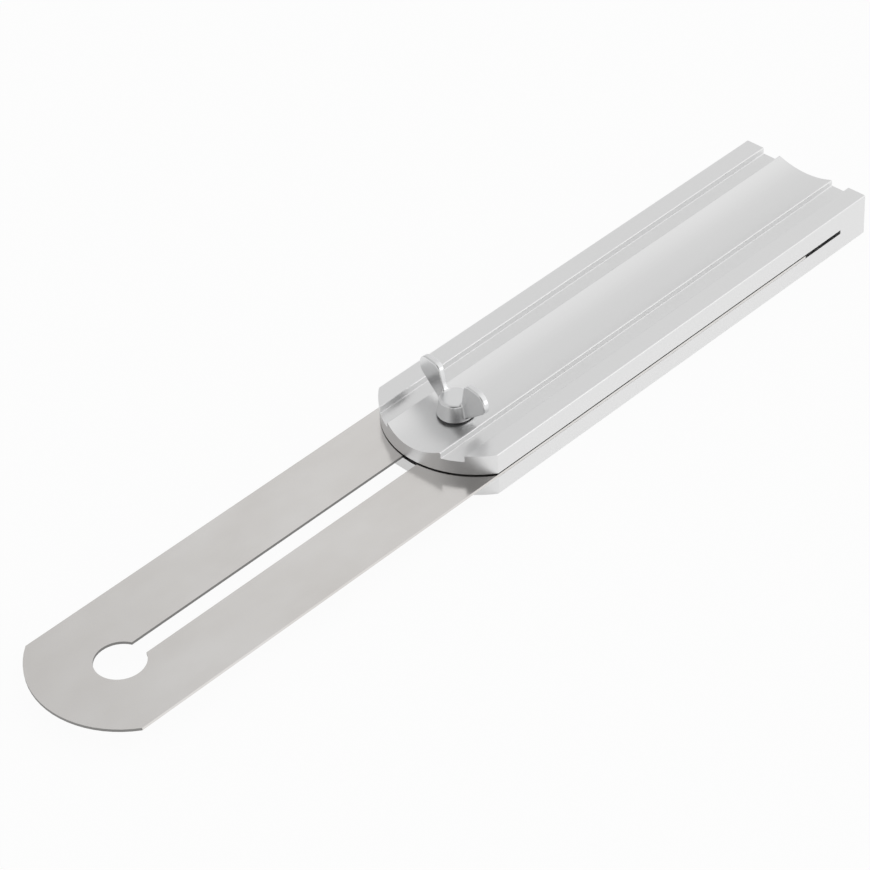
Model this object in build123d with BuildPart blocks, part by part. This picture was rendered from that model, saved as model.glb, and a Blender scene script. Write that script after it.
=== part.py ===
"""Sliding bevel: a kerf-cut aluminium stock, a slotted steel blade and a wing screw.

Millimetres, +Z up. The tool lies on the underside of its stock, opened straight, with the
stock towards +X and the blade towards -X. The origin is on the underside, in the middle of
the tool's length and width.
"""
import os
from math import cos, radians, sin

from build123d import *

tool_width = 40.0           # the stock and the blade are flush along both sides

# Stock: a flat bar, the same above and below its middle
stock_length = 150.0
stock_height = 12.0
stock_nose_depth = 10.0     # how far the rounded front stands before the straight sides
corner_rounding = 0.3       # on every corner of the bar's section
kerf_level = 5.2            # underside of the bar to the lower side of the kerf
kerf_gap = 1.15
kerf_web = 10.0             # metal left between the kerf and the back end
groove_width = 5.3
groove_depth = 1.8
ridge_half_span = 9.0       # middle of the bar to the sharp ridge beside each groove
trough_depth = 1.8
screw_setback = 16.3        # front of the jaws to the screw axis

# Blade
blade_thickness = 0.75
blade_nose_depth = 10.0
blade_reach = 130.6         # screw axis to the tip, as the tool lies here
blade_end_clearance = 4.3   # hidden end of the blade to the end of the kerf
keyhole_diameter = 12.5
keyhole_inset = 21.1        # tip to the keyhole's centre
slot_width = 5.0
slot_web = 15.0             # steel left between the slot and the hidden end

# Wing screw, whose shank ends flush with the clamp nut's underside
screw_diameter = 4.0
screw_point = 0.5           # chamfer at the end of the shank
hub_base_diameter = 9.3
hub_top_diameter = 7.8
hub_height = 4.6
hub_rounding = 0.7
wing_span = 25.0
wing_height = 11.6          # above the foot of the hub
wing_thickness = 1.75
wing_tip_radius = 3.2
wing_heel_radius = 2.2      # inner top corner of a wing
wing_heel_offset = 6.7      # screw axis to the centre of that corner
wing_root_offset = 3.3      # screw axis to the wing's root inside the hub
wing_root_radius = 0.5
wing_foot_offset = 4.2      # screw axis to where the wing's outer edge enters the hub
wing_foot_height = 0.8
wing_foot_radius = 0.45
wing_rise_per_blend = 8.75  # wing's height above the hub over the radius of its hollow corners
wing_edge_rounding = 0.4
wing_turn = 7.0             # degrees that the wings stand turned from straight across

# Washer under the hub, in a flat seat milled at the bottom of the trough
washer_diameter = 7.8
washer_bore = 4.3
washer_thickness = 0.8
washer_seat_clearance = 0.4

# Clamp nut, put in from below, with a two-flat tongue that stands in the blade's slot
flange_diameter = 10.0
flange_thickness = 1.4
flange_sink = 2.4           # underside of the stock to the face that the flange pulls on
sleeve_diameter = 7.0
tongue_drop = 0.15          # top of the tongue below the top of the blade

# Fits, measured on the radius or on one side
running_fit = 0.05
tongue_fit = 0.05
blade_fit = 0.05            # under the blade, above the lower side of the kerf
flange_clearance = 0.2
jaw_hole_clearance = 0.25

# Levels
kerf_middle = kerf_level + kerf_gap / 2
blade_bottom = kerf_level + blade_fit
blade_top = blade_bottom + blade_thickness
washer_seat = stock_height - trough_depth
hub_foot = washer_seat + washer_thickness
nut_foot = flange_sink - flange_thickness

# Places along X
tip_x = -(blade_reach + stock_length - screw_setback) / 2
screw_x = tip_x + blade_reach
nose_x = screw_x - screw_setback
back_x = nose_x + stock_length
kerf_end_x = back_x - kerf_web
blade_end_x = kerf_end_x - blade_end_clearance
keyhole_x = tip_x + keyhole_inset
slot_end_x = blade_end_x - slot_web - slot_width / 2

# The upright plane through both wings, with its origin at the foot of the hub
across = (sin(radians(wing_turn)), cos(radians(wing_turn)), 0)
wing_normal = (across[1], -across[0], 0)
wing_side_plane = Plane(origin=(screw_x, 0, hub_foot), x_dir=across, z_dir=wing_normal)
wing_blend = (wing_height - hub_height) / wing_rise_per_blend
screw_axis = Axis((screw_x, 0, 0), (0, 0, 1))


with BuildPart() as stock:
    with BuildSketch(Plane.YZ.offset(nose_x)) as section:
        with Locations((0, stock_height / 2)):
            Rectangle(tool_width, stock_height)
        for face_level, inward in ((stock_height, -1), (0, 1)):
            groove_centre = ridge_half_span + groove_width / 2
            with Locations((groove_centre, face_level), (-groove_centre, face_level)):
                Rectangle(groove_width, 2 * groove_depth, mode=Mode.SUBTRACT)
            with BuildLine():
                trough_low = (0, face_level + inward * trough_depth)
                trough = ThreePointArc(
                    (-ridge_half_span, face_level), trough_low, (ridge_half_span, face_level)
                )
                Line(trough @ 1, trough @ 0)
            make_face(mode=Mode.SUBTRACT)
        fillet(section.vertices(), corner_rounding)
    extrude(amount=stock_length)

    with BuildSketch(Plane.XY):
        with BuildLine():
            shoulder_x = nose_x + stock_nose_depth
            nose = ThreePointArc(
                (shoulder_x, tool_width / 2), (nose_x, 0), (shoulder_x, -tool_width / 2)
            )
            Polyline(nose @ 1, (back_x, -tool_width / 2), (back_x, tool_width / 2), nose @ 0)
        make_face()
    extrude(amount=stock_height, mode=Mode.INTERSECT)

    with BuildSketch(Plane.XY.offset(kerf_level)):
        with Locations((nose_x, 0)):
            Rectangle(kerf_end_x - nose_x, tool_width, align=(Align.MIN, Align.CENTER))
    extrude(amount=kerf_gap, mode=Mode.SUBTRACT)

    with Locations((screw_x, 0, stock_height)):
        CounterBoreHole(
            radius=screw_diameter / 2 + jaw_hole_clearance,
            counter_bore_radius=washer_diameter / 2 + washer_seat_clearance,
            counter_bore_depth=trough_depth,
            depth=stock_height - kerf_middle,
        )
    with Locations(Location((screw_x, 0, 0), (180, 0, 0))):
        CounterBoreHole(
            radius=sleeve_diameter / 2 + running_fit,
            counter_bore_radius=flange_diameter / 2 + flange_clearance,
            counter_bore_depth=flange_sink,
            depth=kerf_middle,
        )


with BuildPart() as blade:
    with BuildSketch(Plane.XY.offset(blade_bottom)):
        with BuildLine():
            tip_shoulder_x = tip_x + blade_nose_depth
            end_shoulder_x = blade_end_x - blade_nose_depth
            tip = ThreePointArc(
                (tip_shoulder_x, tool_width / 2), (tip_x, 0), (tip_shoulder_x, -tool_width / 2)
            )
            hidden_end = ThreePointArc(
                (end_shoulder_x, -tool_width / 2),
                (blade_end_x, 0),
                (end_shoulder_x, tool_width / 2),
            )
            Line(tip @ 1, hidden_end @ 0)
            Line(hidden_end @ 1, tip @ 0)
        make_face()
        with Locations((keyhole_x, 0)):
            Circle(keyhole_diameter / 2, mode=Mode.SUBTRACT)
        with Locations(((keyhole_x + slot_end_x) / 2, 0)):
            SlotCenterToCenter(slot_end_x - keyhole_x, slot_width, mode=Mode.SUBTRACT)
    extrude(amount=blade_thickness)


with BuildPart() as wing_screw:
    with BuildSketch(wing_side_plane):
        with BuildSketch(mode=Mode.PRIVATE) as one_wing:
            for centre, radius in (
                ((wing_span / 2 - wing_tip_radius, wing_height - wing_tip_radius), wing_tip_radius),
                ((wing_heel_offset, wing_height - wing_heel_radius), wing_heel_radius),
                ((wing_root_offset, hub_height / 2), wing_root_radius),
                ((wing_foot_offset, wing_foot_height), wing_foot_radius),
            ):
                with Locations(centre):
                    Circle(radius)
            make_hull()
        add(one_wing.sketch)
        mirror(one_wing.sketch, about=Plane.YZ)
    extrude(amount=wing_thickness / 2, both=True)
    outlines = wing_screw.faces().filter_by(Plane(origin=(0, 0, 0), z_dir=wing_normal)).edges()
    fillet(outlines, wing_edge_rounding)

    with BuildSketch(wing_side_plane) as hub_profile:
        with BuildLine():
            Polyline(
                (0, 0),
                (hub_base_diameter / 2, 0),
                (hub_top_diameter / 2, hub_height),
                (0, hub_height),
                close=True,
            )
        make_face()
        rim = hub_profile.vertices().sort_by_distance((hub_top_diameter / 2, hub_height, 0))[0]
        fillet(rim, hub_rounding)
    revolve(axis=screw_axis)
    seams = wing_screw.edges().filter_by(GeomType.HYPERBOLA)
    fillet(seams, wing_blend)

    with BuildSketch(Plane.XY.offset(hub_foot)):
        with Locations((screw_x, 0)):
            Circle(screw_diameter / 2)
    extrude(amount=nut_foot - hub_foot)
    chamfer(wing_screw.edges().sort_by(Axis.Z)[0], screw_point)


with BuildPart() as washer:
    with BuildSketch(Plane.XY.offset(washer_seat)):
        with Locations((screw_x, 0)):
            Circle(washer_diameter / 2)
            Circle(washer_bore / 2, mode=Mode.SUBTRACT)
    extrude(amount=washer_thickness)


with BuildPart() as clamp_nut:
    with BuildSketch(Plane.XY.offset(nut_foot)):
        with Locations((screw_x, 0)):
            Circle(flange_diameter / 2)
    extrude(amount=flange_thickness)
    with BuildSketch(Plane.XY.offset(flange_sink)):
        with Locations((screw_x, 0)):
            Circle(sleeve_diameter / 2)
    extrude(amount=kerf_level - flange_sink)
    with BuildSketch(Plane.XY.offset(kerf_level)):
        with Locations((screw_x, 0)):
            Circle(sleeve_diameter / 2)
            Rectangle(sleeve_diameter, slot_width - 2 * tongue_fit, mode=Mode.INTERSECT)
    extrude(amount=blade_top - tongue_drop - kerf_level)
    with Locations((screw_x, 0, blade_top)):
        Hole(screw_diameter / 2 + running_fit)


stock.part.label = "stock"
blade.part.label = "blade"
wing_screw.part.label = "wing_screw"
washer.part.label = "washer"
clamp_nut.part.label = "clamp_nut"

os.makedirs("parts", exist_ok=True)
export_step(stock.part, "parts/stock.step")
export_step(blade.part, "parts/blade.step")
export_step(wing_screw.part, "parts/wing_screw.step")
export_step(washer.part, "parts/washer.step")
export_step(clamp_nut.part, "parts/clamp_nut.step")
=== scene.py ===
# %% [markdown]
# # A sliding bevel
# A sliding bevel copies an angle from one place to another. A flat steel blade swings and
# slides in a saw kerf along an aluminium stock, and a wing screw squeezes the stock's two
# jaws together to hold it. The solids come ready made and in place, so this lesson gives them
# their finishes and photographs them on a pale floor. Blender counts in metres, and the sizes
# of a small tool read better in millimetres, so one name stands for a millimetre.

# %% Load the solids
from math import cos, pi, radians, sin

import bmesh
import bpy
from mathutils import Matrix, Vector


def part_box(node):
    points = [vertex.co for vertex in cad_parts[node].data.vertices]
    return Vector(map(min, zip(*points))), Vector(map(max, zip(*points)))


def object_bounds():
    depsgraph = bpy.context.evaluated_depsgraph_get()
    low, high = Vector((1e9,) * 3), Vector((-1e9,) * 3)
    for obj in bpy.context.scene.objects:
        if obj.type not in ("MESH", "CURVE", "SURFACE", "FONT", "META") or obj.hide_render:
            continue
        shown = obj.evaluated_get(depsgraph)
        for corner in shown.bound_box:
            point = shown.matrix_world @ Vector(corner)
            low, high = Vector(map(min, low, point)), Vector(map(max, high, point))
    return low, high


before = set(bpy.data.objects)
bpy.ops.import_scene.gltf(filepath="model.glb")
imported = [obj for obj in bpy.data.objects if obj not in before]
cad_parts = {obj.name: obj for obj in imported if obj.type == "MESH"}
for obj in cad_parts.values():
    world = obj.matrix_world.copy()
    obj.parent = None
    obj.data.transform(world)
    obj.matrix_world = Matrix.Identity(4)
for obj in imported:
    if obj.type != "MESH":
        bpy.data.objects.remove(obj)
cad_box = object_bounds()
MM = 0.001


def in_mm(corners):
    """The lowest and the highest corner of a box, to be printed."""
    return [round(v / MM, 2) for corner in corners for v in corner]


print("the whole tool fills the box", in_mm(cad_box))

# %% [markdown]
# ## The camera
# The photograph is taken from the front left and from above with a long lens, so the tool's
# far end is hardly smaller than its near end. A camera can be set with a place and three
# turns, but nobody sees a view in such numbers. So it is given the way a photographer would
# say it: where it aims, how far off it stands, from what angle, and a small tilt.

# %% Set up the camera
lens_mm = 131.28
camera_azimuth = radians(-43.311)
camera_elevation = radians(39.289)
camera_tilt = radians(-3.808)
camera_distance = 0.7705
aim = Vector((-7.934, 1.131, 6.935)) * MM

backward = Vector((
    sin(camera_azimuth) * cos(camera_elevation),
    -cos(camera_azimuth) * cos(camera_elevation),
    sin(camera_elevation),
))
camera_data = bpy.data.cameras.new("camera")
camera_data.lens = lens_mm
camera_data.sensor_width = 36.0
camera_data.clip_start = 0.05
camera_data.clip_end = 10.0
camera = bpy.data.objects.new("camera", camera_data)
bpy.context.scene.collection.objects.link(camera)
level = backward.to_track_quat("Z", "Y").to_matrix()
tilted = level @ Matrix.Rotation(camera_tilt, 3, "Z")
camera.matrix_world = Matrix.Translation(aim + backward * camera_distance) @ tilted.to_4x4()
bpy.context.scene.camera = camera
print("camera at", [round(v, 4) for v in camera.matrix_world.translation])

# %% [markdown]
# ## Writing finishes as sums
# A finish is a network of nodes. Laying out such a network by hand is slow to read, so a
# small class wraps one output socket and lets Python's own signs add the Math nodes. A
# finish then reads like a formula, and one method makes every other kind of node. The light
# tent is written the same way further on.

# %% A wire that can be added and multiplied
class Wire:
    """One output socket of a network, ready to be used in sums."""

    def __init__(self, network, socket):
        self.network = network
        self.socket = socket

    def maths(self, operation, first, second):
        return self.network.node("ShaderNodeMath", {"operation": operation}, {0: first, 1: second})

    def __add__(self, other):
        return self.maths("ADD", self, other)

    def __radd__(self, other):
        return self.maths("ADD", other, self)

    def __sub__(self, other):
        return self.maths("SUBTRACT", self, other)

    def __rsub__(self, other):
        return self.maths("SUBTRACT", other, self)

    def __mul__(self, other):
        return self.maths("MULTIPLY", self, other)

    def __rmul__(self, other):
        return self.maths("MULTIPLY", other, self)

    def __gt__(self, other):
        return self.maths("GREATER_THAN", self, other)

    def __lt__(self, other):
        return self.maths("LESS_THAN", self, other)

    def __abs__(self):
        return self.maths("ABSOLUTE", self, 0.0)


# %% A network of nodes
class Network:
    """The nodes of a material or of the tent, made one by one."""

    def __init__(self, owner):
        owner.use_nodes = True
        self.tree = owner.node_tree
        self.tree.nodes.clear()

    def node(self, kind, settings=None, sockets=None, output=0):
        """A new node, with its settings made first. It comes back as one of its outputs."""
        made = self.tree.nodes.new(kind)
        for key, value in (settings or {}).items():
            setattr(made, key, value)
        for key, value in (sockets or {}).items():
            if isinstance(value, Wire):
                self.tree.links.new(value.socket, made.inputs[key])
            else:
                made.inputs[key].default_value = value
        return Wire(self, made.outputs[output]) if made.outputs else None

    def axis(self, vector, name):
        """The X, the Y or the Z of a vector."""
        return self.node("ShaderNodeSeparateXYZ", {}, {0: vector}, output=name)

    def ramp(self, value, start, end):
        """0 at start, 1 at end, and a soft slope between."""
        return self.node(
            "ShaderNodeMapRange",
            {"interpolation_type": "SMOOTHSTEP"},
            {"Value": value, "From Min": start, "From Max": end, "To Min": 0.0, "To Max": 1.0},
        )


# %% A finish
class Finish(Network):
    """A material, with the textures and the shader that every finish here needs."""

    def __init__(self, name):
        self.material = bpy.data.materials.new(name)
        super().__init__(self.material)
        self.place = self.node("ShaderNodeTexCoord", output="Object")

    def noise(self, per_metre, detail=2.0, roughness=0.5):
        """Cloudy values from 0 to 1, with so many clouds to a metre along each axis."""
        stretched = self.node(
            "ShaderNodeMapping",
            {"vector_type": "POINT"},
            {"Vector": self.place, "Scale": per_metre},
        )
        return self.node(
            "ShaderNodeTexNoise",
            {},
            {"Vector": stretched, "Scale": 1.0, "Detail": detail, "Roughness": roughness},
        )

    def blend(self, mask, low, high):
        """A colour that goes from low to high as the mask goes from 0 to 1."""
        return self.node(
            "ShaderNodeMix", {"data_type": "RGBA"}, {0: mask, 6: low, 7: high}, output=2
        )

    def bump(self, height, depth_mm, normal=None):
        """A normal for a surface that rises by depth_mm as height goes from 0 to 1."""
        sockets = {"Height": height, "Strength": 1.0, "Distance": depth_mm * MM}
        if normal is not None:
            sockets["Normal"] = normal
        return self.node("ShaderNodeBump", {}, sockets)

    def metal(self, colour, roughness, normal):
        """Ends the network with a metal shader and its output."""
        shader = self.node(
            "ShaderNodeBsdfPrincipled",
            {},
            {"Base Color": colour, "Roughness": roughness, "Normal": normal, "Metallic": 1.0},
        )
        self.node("ShaderNodeOutputMaterial", {}, {"Surface": shader})


def grey(value, warmth=0.0):
    """A linear grey with an alpha, a little warmer or cooler."""
    return (value * (1 + warmth), value, value * (1 - warmth), 1.0)


def dress(node, finish):
    """Puts a finish on a solid."""
    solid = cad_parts[node]
    solid.data.materials.clear()
    solid.data.materials.append(finish.material)
    print(node, "wears", finish.material.name, "with", len(finish.tree.nodes), "nodes")


# %% [markdown]
# ## The stock
# The stock is an aluminium bar pulled through a die, so every long face carries faint
# straight lines. Only its ends were cut afterwards: those faces have fine marks of a cutter
# that run up and down. A picture of brushed metal would have to be wrapped round the bar, and
# it would show a seam. Noise that is stretched along the bar makes the lines out of nothing
# but a place in space, and the direction that a face looks in says which lines it gets.

# %% Drawn and anodised aluminium
aluminium = Finish("anodised_aluminium")
stock_facing = aluminium.node("ShaderNodeTexCoord", output="Normal")
cut_face = aluminium.ramp(abs(aluminium.axis(stock_facing, "X")), start=0.3, end=0.6)
die_lines = aluminium.noise(per_metre=(6, 2200, 2200), detail=3.0, roughness=0.6)
cutter_lines = aluminium.noise(per_metre=(2600, 2600, 20), detail=3.0, roughness=0.6)
lines = die_lines * (1 - cut_face) + cutter_lines * cut_face
clouds = aluminium.noise(per_metre=(18, 60, 60))
stock_colour = aluminium.blend(clouds * 0.5 + lines * 0.5, low=grey(0.78), high=grey(0.82))

drawn_roughness = 0.29
rougher_by_lines = 0.08
rougher_by_cutting = 0.1
stock_roughness = drawn_roughness + lines * rougher_by_lines + cut_face * rougher_by_cutting
aluminium.metal(stock_colour, stock_roughness, aluminium.bump(lines, depth_mm=0.0006))
dress("stock", aluminium)

# %% [markdown]
# ## The blade
# The blade is cut from stainless sheet. Its flat faces are evenly satin with soft clouds, its
# two long edges are ground bright, and the slot and the round ends keep the dark skin of the
# cut. Each could have a material of its own, given out face by face. Here one finish works
# out where it is: a wall is what doesn't look up or down, and it is a ground edge where it
# looks straight sideways and lies along the outside of the blade.

# %% Walls and ground edges of the blade
steel = Finish("stainless_sheet")
blade_facing = steel.node("ShaderNodeTexCoord", output="Normal")
wall = steel.ramp(abs(steel.axis(blade_facing, "Z")), start=0.7, end=0.3)
looks_sideways = steel.ramp(abs(steel.axis(blade_facing, "Y")), start=0.97, end=0.995)
blade_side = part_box("blade")[1].y
edge_band = 0.2 * MM
on_the_outside = abs(steel.axis(steel.place, "Y")) > blade_side - edge_band
ground_edge = looks_sideways * on_the_outside
dark_cut = wall * (1 - ground_edge)
print("the ground edges lie", round(blade_side / MM, 2), "mm from the middle")

# %% Stainless sheet
rolling_lines = steel.noise(per_metre=(15, 1800, 1800), detail=3.0, roughness=0.6)
sheet_clouds = steel.noise(per_metre=(45, 70, 70), detail=3.0, roughness=0.55)
sheet_colour = steel.blend(sheet_clouds, low=grey(0.65, 0.04), high=grey(0.80, 0.015))
blade_colour = steel.blend(dark_cut, low=sheet_colour, high=grey(0.26, 0.02))

sheet_roughness = 0.16
rougher_by_rolling = 0.06
rougher_by_dark_cut = 0.25
blade_roughness = (
    sheet_roughness + rolling_lines * rougher_by_rolling + dark_cut * rougher_by_dark_cut
)
steel.metal(blade_colour, blade_roughness, steel.bump(rolling_lines, depth_mm=0.001))
dress("blade", steel)

# %% [markdown]
# ## The wing screw and its washer
# The screw is cast, tumbled until its edges are soft, and zinc plated: bright, a little
# lumpy, faintly blue. The washer under it is coloured near black, which paints the shade in
# the narrow gap under the hub. Lumps and pits could be modelled, but they are hundredths of a
# millimetre high and don't change an outline, so a bump in the finish is enough. Two bumps in a
# row put the pits on the lumps.

# %% Zinc plate
zinc = Finish("zinc_plate")
lumps = zinc.noise(per_metre=(420, 420, 420))
pits = zinc.noise(per_metre=(2600, 2600, 2600))
zinc_colour = zinc.blend(lumps, low=grey(0.76, -0.006), high=grey(0.82, -0.003))
plate_roughness = 0.24
rougher_by_pits = 0.04
zinc_normal = zinc.bump(pits, depth_mm=0.0001, normal=zinc.bump(lumps, depth_mm=0.01))
zinc.metal(zinc_colour, plate_roughness + pits * rougher_by_pits, zinc_normal)
dress("wing_screw", zinc)

# %% Washer in painted shade
shaded_washer = Finish("washer_painted_shade")
speckle = shaded_washer.noise(per_metre=(1500, 1500, 1500), detail=3.0)
# The washer's near-black colour is painted shade: it stands for the shade in the gap under the
# hub.
painted_shade_colour = shaded_washer.blend(speckle, low=grey(0.10), high=grey(0.16))
black_roughness = 0.35
rougher_by_speckle = 0.2
black_normal = shaded_washer.bump(speckle, depth_mm=0.004)
shaded_washer.metal(painted_shade_colour, black_roughness + speckle * rougher_by_speckle, black_normal)
dress("washer", shaded_washer)

# %% [markdown]
# ## The nut
# The nut that the screw turns in sits in the underside of the stock. It is turned on a
# lathe, so its marks are rings about the screw. A Wave texture draws rings too, but only
# about its own origin, and it needs a Mapping node to move them. The sine of the distance
# from the screw's axis says the same in two lines.

# %% Turned nut
turned = Finish("turned_zinc")
washer_low, washer_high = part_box("washer")
screw_axis = (washer_low + washer_high) / 2
ring_pitch = 0.12 * MM
across_x = turned.axis(turned.place, "X") - screw_axis.x
across_y = turned.axis(turned.place, "Y")
radius = turned.node(
    "ShaderNodeMath", {"operation": "SQRT"}, {0: across_x * across_x + across_y * across_y}
)
rings = turned.node("ShaderNodeMath", {"operation": "SINE"}, {0: radius * (2 * pi / ring_pitch)})
turned_colour = turned.blend(rings * 0.5 + 0.5, low=grey(0.62), high=grey(0.72))

turned_roughness = 0.22
rougher_by_dirt = 0.12
nut_roughness = turned_roughness + turned.noise(per_metre=(900, 900, 900)) * rougher_by_dirt
turned.metal(turned_colour, nut_roughness, turned.bump(rings, depth_mm=0.002))
dress("clamp_nut", turned)

# %% [markdown]
# ## The floor
# The tool lies on white paper. More light would make the paper white, but it would also burn
# out the metal. So the paper glows for rays that come from the camera or through glass, and
# almost as much for rays that metal mirrors, while for all other light it is matt and takes
# the tool's shadow. Right under the tool it lies in shade, so there it glows less for metal.

# %% The floor
floor_half = 3.0
floor_mesh = bpy.data.meshes.new("floor")
shape = bmesh.new()
bmesh.ops.create_grid(shape, x_segments=1, y_segments=1, size=floor_half)
shape.to_mesh(floor_mesh)
shape.free()
floor = bpy.data.objects.new("floor", floor_mesh)
bpy.context.scene.collection.objects.link(floor)
print("the floor is", 2 * floor_half, "m wide")

# %% White paper
paper = Finish("white_paper")
to_camera = paper.node("ShaderNodeLightPath", output="Is Camera Ray")
to_metal = paper.node("ShaderNodeLightPath", output="Is Glossy Ray")
to_glass = paper.node("ShaderNodeLightPath", output="Is Transmission Ray")
under_length = abs(paper.axis(paper.place, "X")) < cad_box[1].x
under_width = abs(paper.axis(paper.place, "Y")) < cad_box[1].y
under_tool = under_length * under_width

camera_glow = 0.94
metal_glow = 0.9
lost_in_shade = 0.25
white_to_metal = to_metal * (metal_glow - under_tool * lost_in_shade)
white_share = (to_camera + to_glass) * camera_glow + white_to_metal
matt = paper.node("ShaderNodeBsdfDiffuse", {}, {"Color": grey(0.9)})
glow = paper.node("ShaderNodeEmission", {}, {"Color": grey(1.0), "Strength": 1.0})
paper_shader = paper.node("ShaderNodeMixShader", {}, {0: white_share, 1: matt, 2: glow})
paper.node("ShaderNodeOutputMaterial", {}, {"Surface": paper_shader})
floor.data.materials.append(paper.material)
print("the floor wears", paper.material.name)

# %% [markdown]
# ## The light tent
# Metal shows what stands round it, so it is the tent that gives the stock its tones:
# brighter beyond the stock's far end, on the near side and in a panel there, a little darker
# low down, and dark where the camera looks in through its opening. A tent of real cloth with
# lamps outside would do it too, but it renders slowly and with more noise. A world whose
# brightness is a sum of soft shapes gives the same reflections, and the camera sees it white.

# %% Places in the tent
world = bpy.data.worlds.new("tent")
bpy.context.scene.world = world
tent = Network(world)
direction = tent.node("ShaderNodeTexCoord", output="Generated")


def patch(towards, inner_degrees, outer_degrees):
    """1 in a round patch of the tent and 0 outside it, with a soft rim."""
    nearness = tent.node(
        "ShaderNodeVectorMath",
        {"operation": "DOT_PRODUCT"},
        {0: direction, 1: Vector(towards).normalized()},
        output="Value",
    )
    return tent.ramp(nearness, cos(radians(outer_degrees)), cos(radians(inner_degrees)))


far_end = tent.ramp(tent.axis(direction, "X"), start=0.30, end=0.52)
near_side = tent.ramp(tent.axis(direction, "Y"), start=0.5, end=0.0)
low_down = tent.ramp(tent.axis(direction, "Z"), start=0.35, end=0.05)
near_panel = patch(towards=(0.50, -0.70, 0.45), inner_degrees=20, outer_degrees=50)
opening = patch(towards=(-0.62, -0.45, 0.64), inner_degrees=14, outer_degrees=40)
print("the tent has five places, made with", len(tent.tree.nodes), "nodes")

# %% Brightness of the tent
plain_cloth = 0.64
far_end_adds = 0.19
near_side_adds = 0.14
near_panel_adds = 0.15
low_down_takes = 0.07
opening_darkens = 0.8
cloth = (
    plain_cloth
    + far_end * far_end_adds
    + near_side * near_side_adds
    + near_panel * near_panel_adds
    - low_down * low_down_takes
)
brightness = cloth * (1 - opening * opening_darkens)
seen_directly = tent.node("ShaderNodeLightPath", output="Is Camera Ray")
strength = tent.node(
    "ShaderNodeMix", {"data_type": "FLOAT"}, {0: seen_directly, 2: brightness, 3: 1.0}
)
sky = tent.node("ShaderNodeBackground", {}, {"Color": grey(1.0), "Strength": strength})
tent.node("ShaderNodeOutputWorld", {}, {"Surface": sky})
print("plain cloth has a brightness of", plain_cloth)

# %% [markdown]
# ## The lamp
# The upright edges of the wings are white in the photograph. The tent could be brightened
# there, but the whole side of the stock would brighten with them. A small soft lamp that
# stands low on the near side reaches the rounded edges and hardly anything else.

# %% A soft lamp
lamp_towards = Vector((0.36, -0.90, 0.18))
lamp_distance = 1.2
lamp_width = 0.5
lamp_watts = 0.8
lamp_data = bpy.data.lights.new("panel_near", "AREA")
lamp_data.size = lamp_width
lamp_data.energy = lamp_watts
lamp = bpy.data.objects.new("panel_near", lamp_data)
lamp.location = (cad_box[0] + cad_box[1]) / 2 + lamp_towards.normalized() * lamp_distance
lamp.rotation_mode = "QUATERNION"
lamp.rotation_quaternion = lamp_towards.to_track_quat("Z", "Y")
bpy.context.scene.collection.objects.link(lamp)
print("lamp of", lamp_watts, "W at", [round(v, 3) for v in lamp.location])

# %% [markdown]
# ## The view transform
# Blender's usual view transform bends bright tones, and the finishes are written as they
# should look, so the plain one takes its place.

# %% Set the view transform
bpy.context.scene.view_settings.view_transform = "Standard"
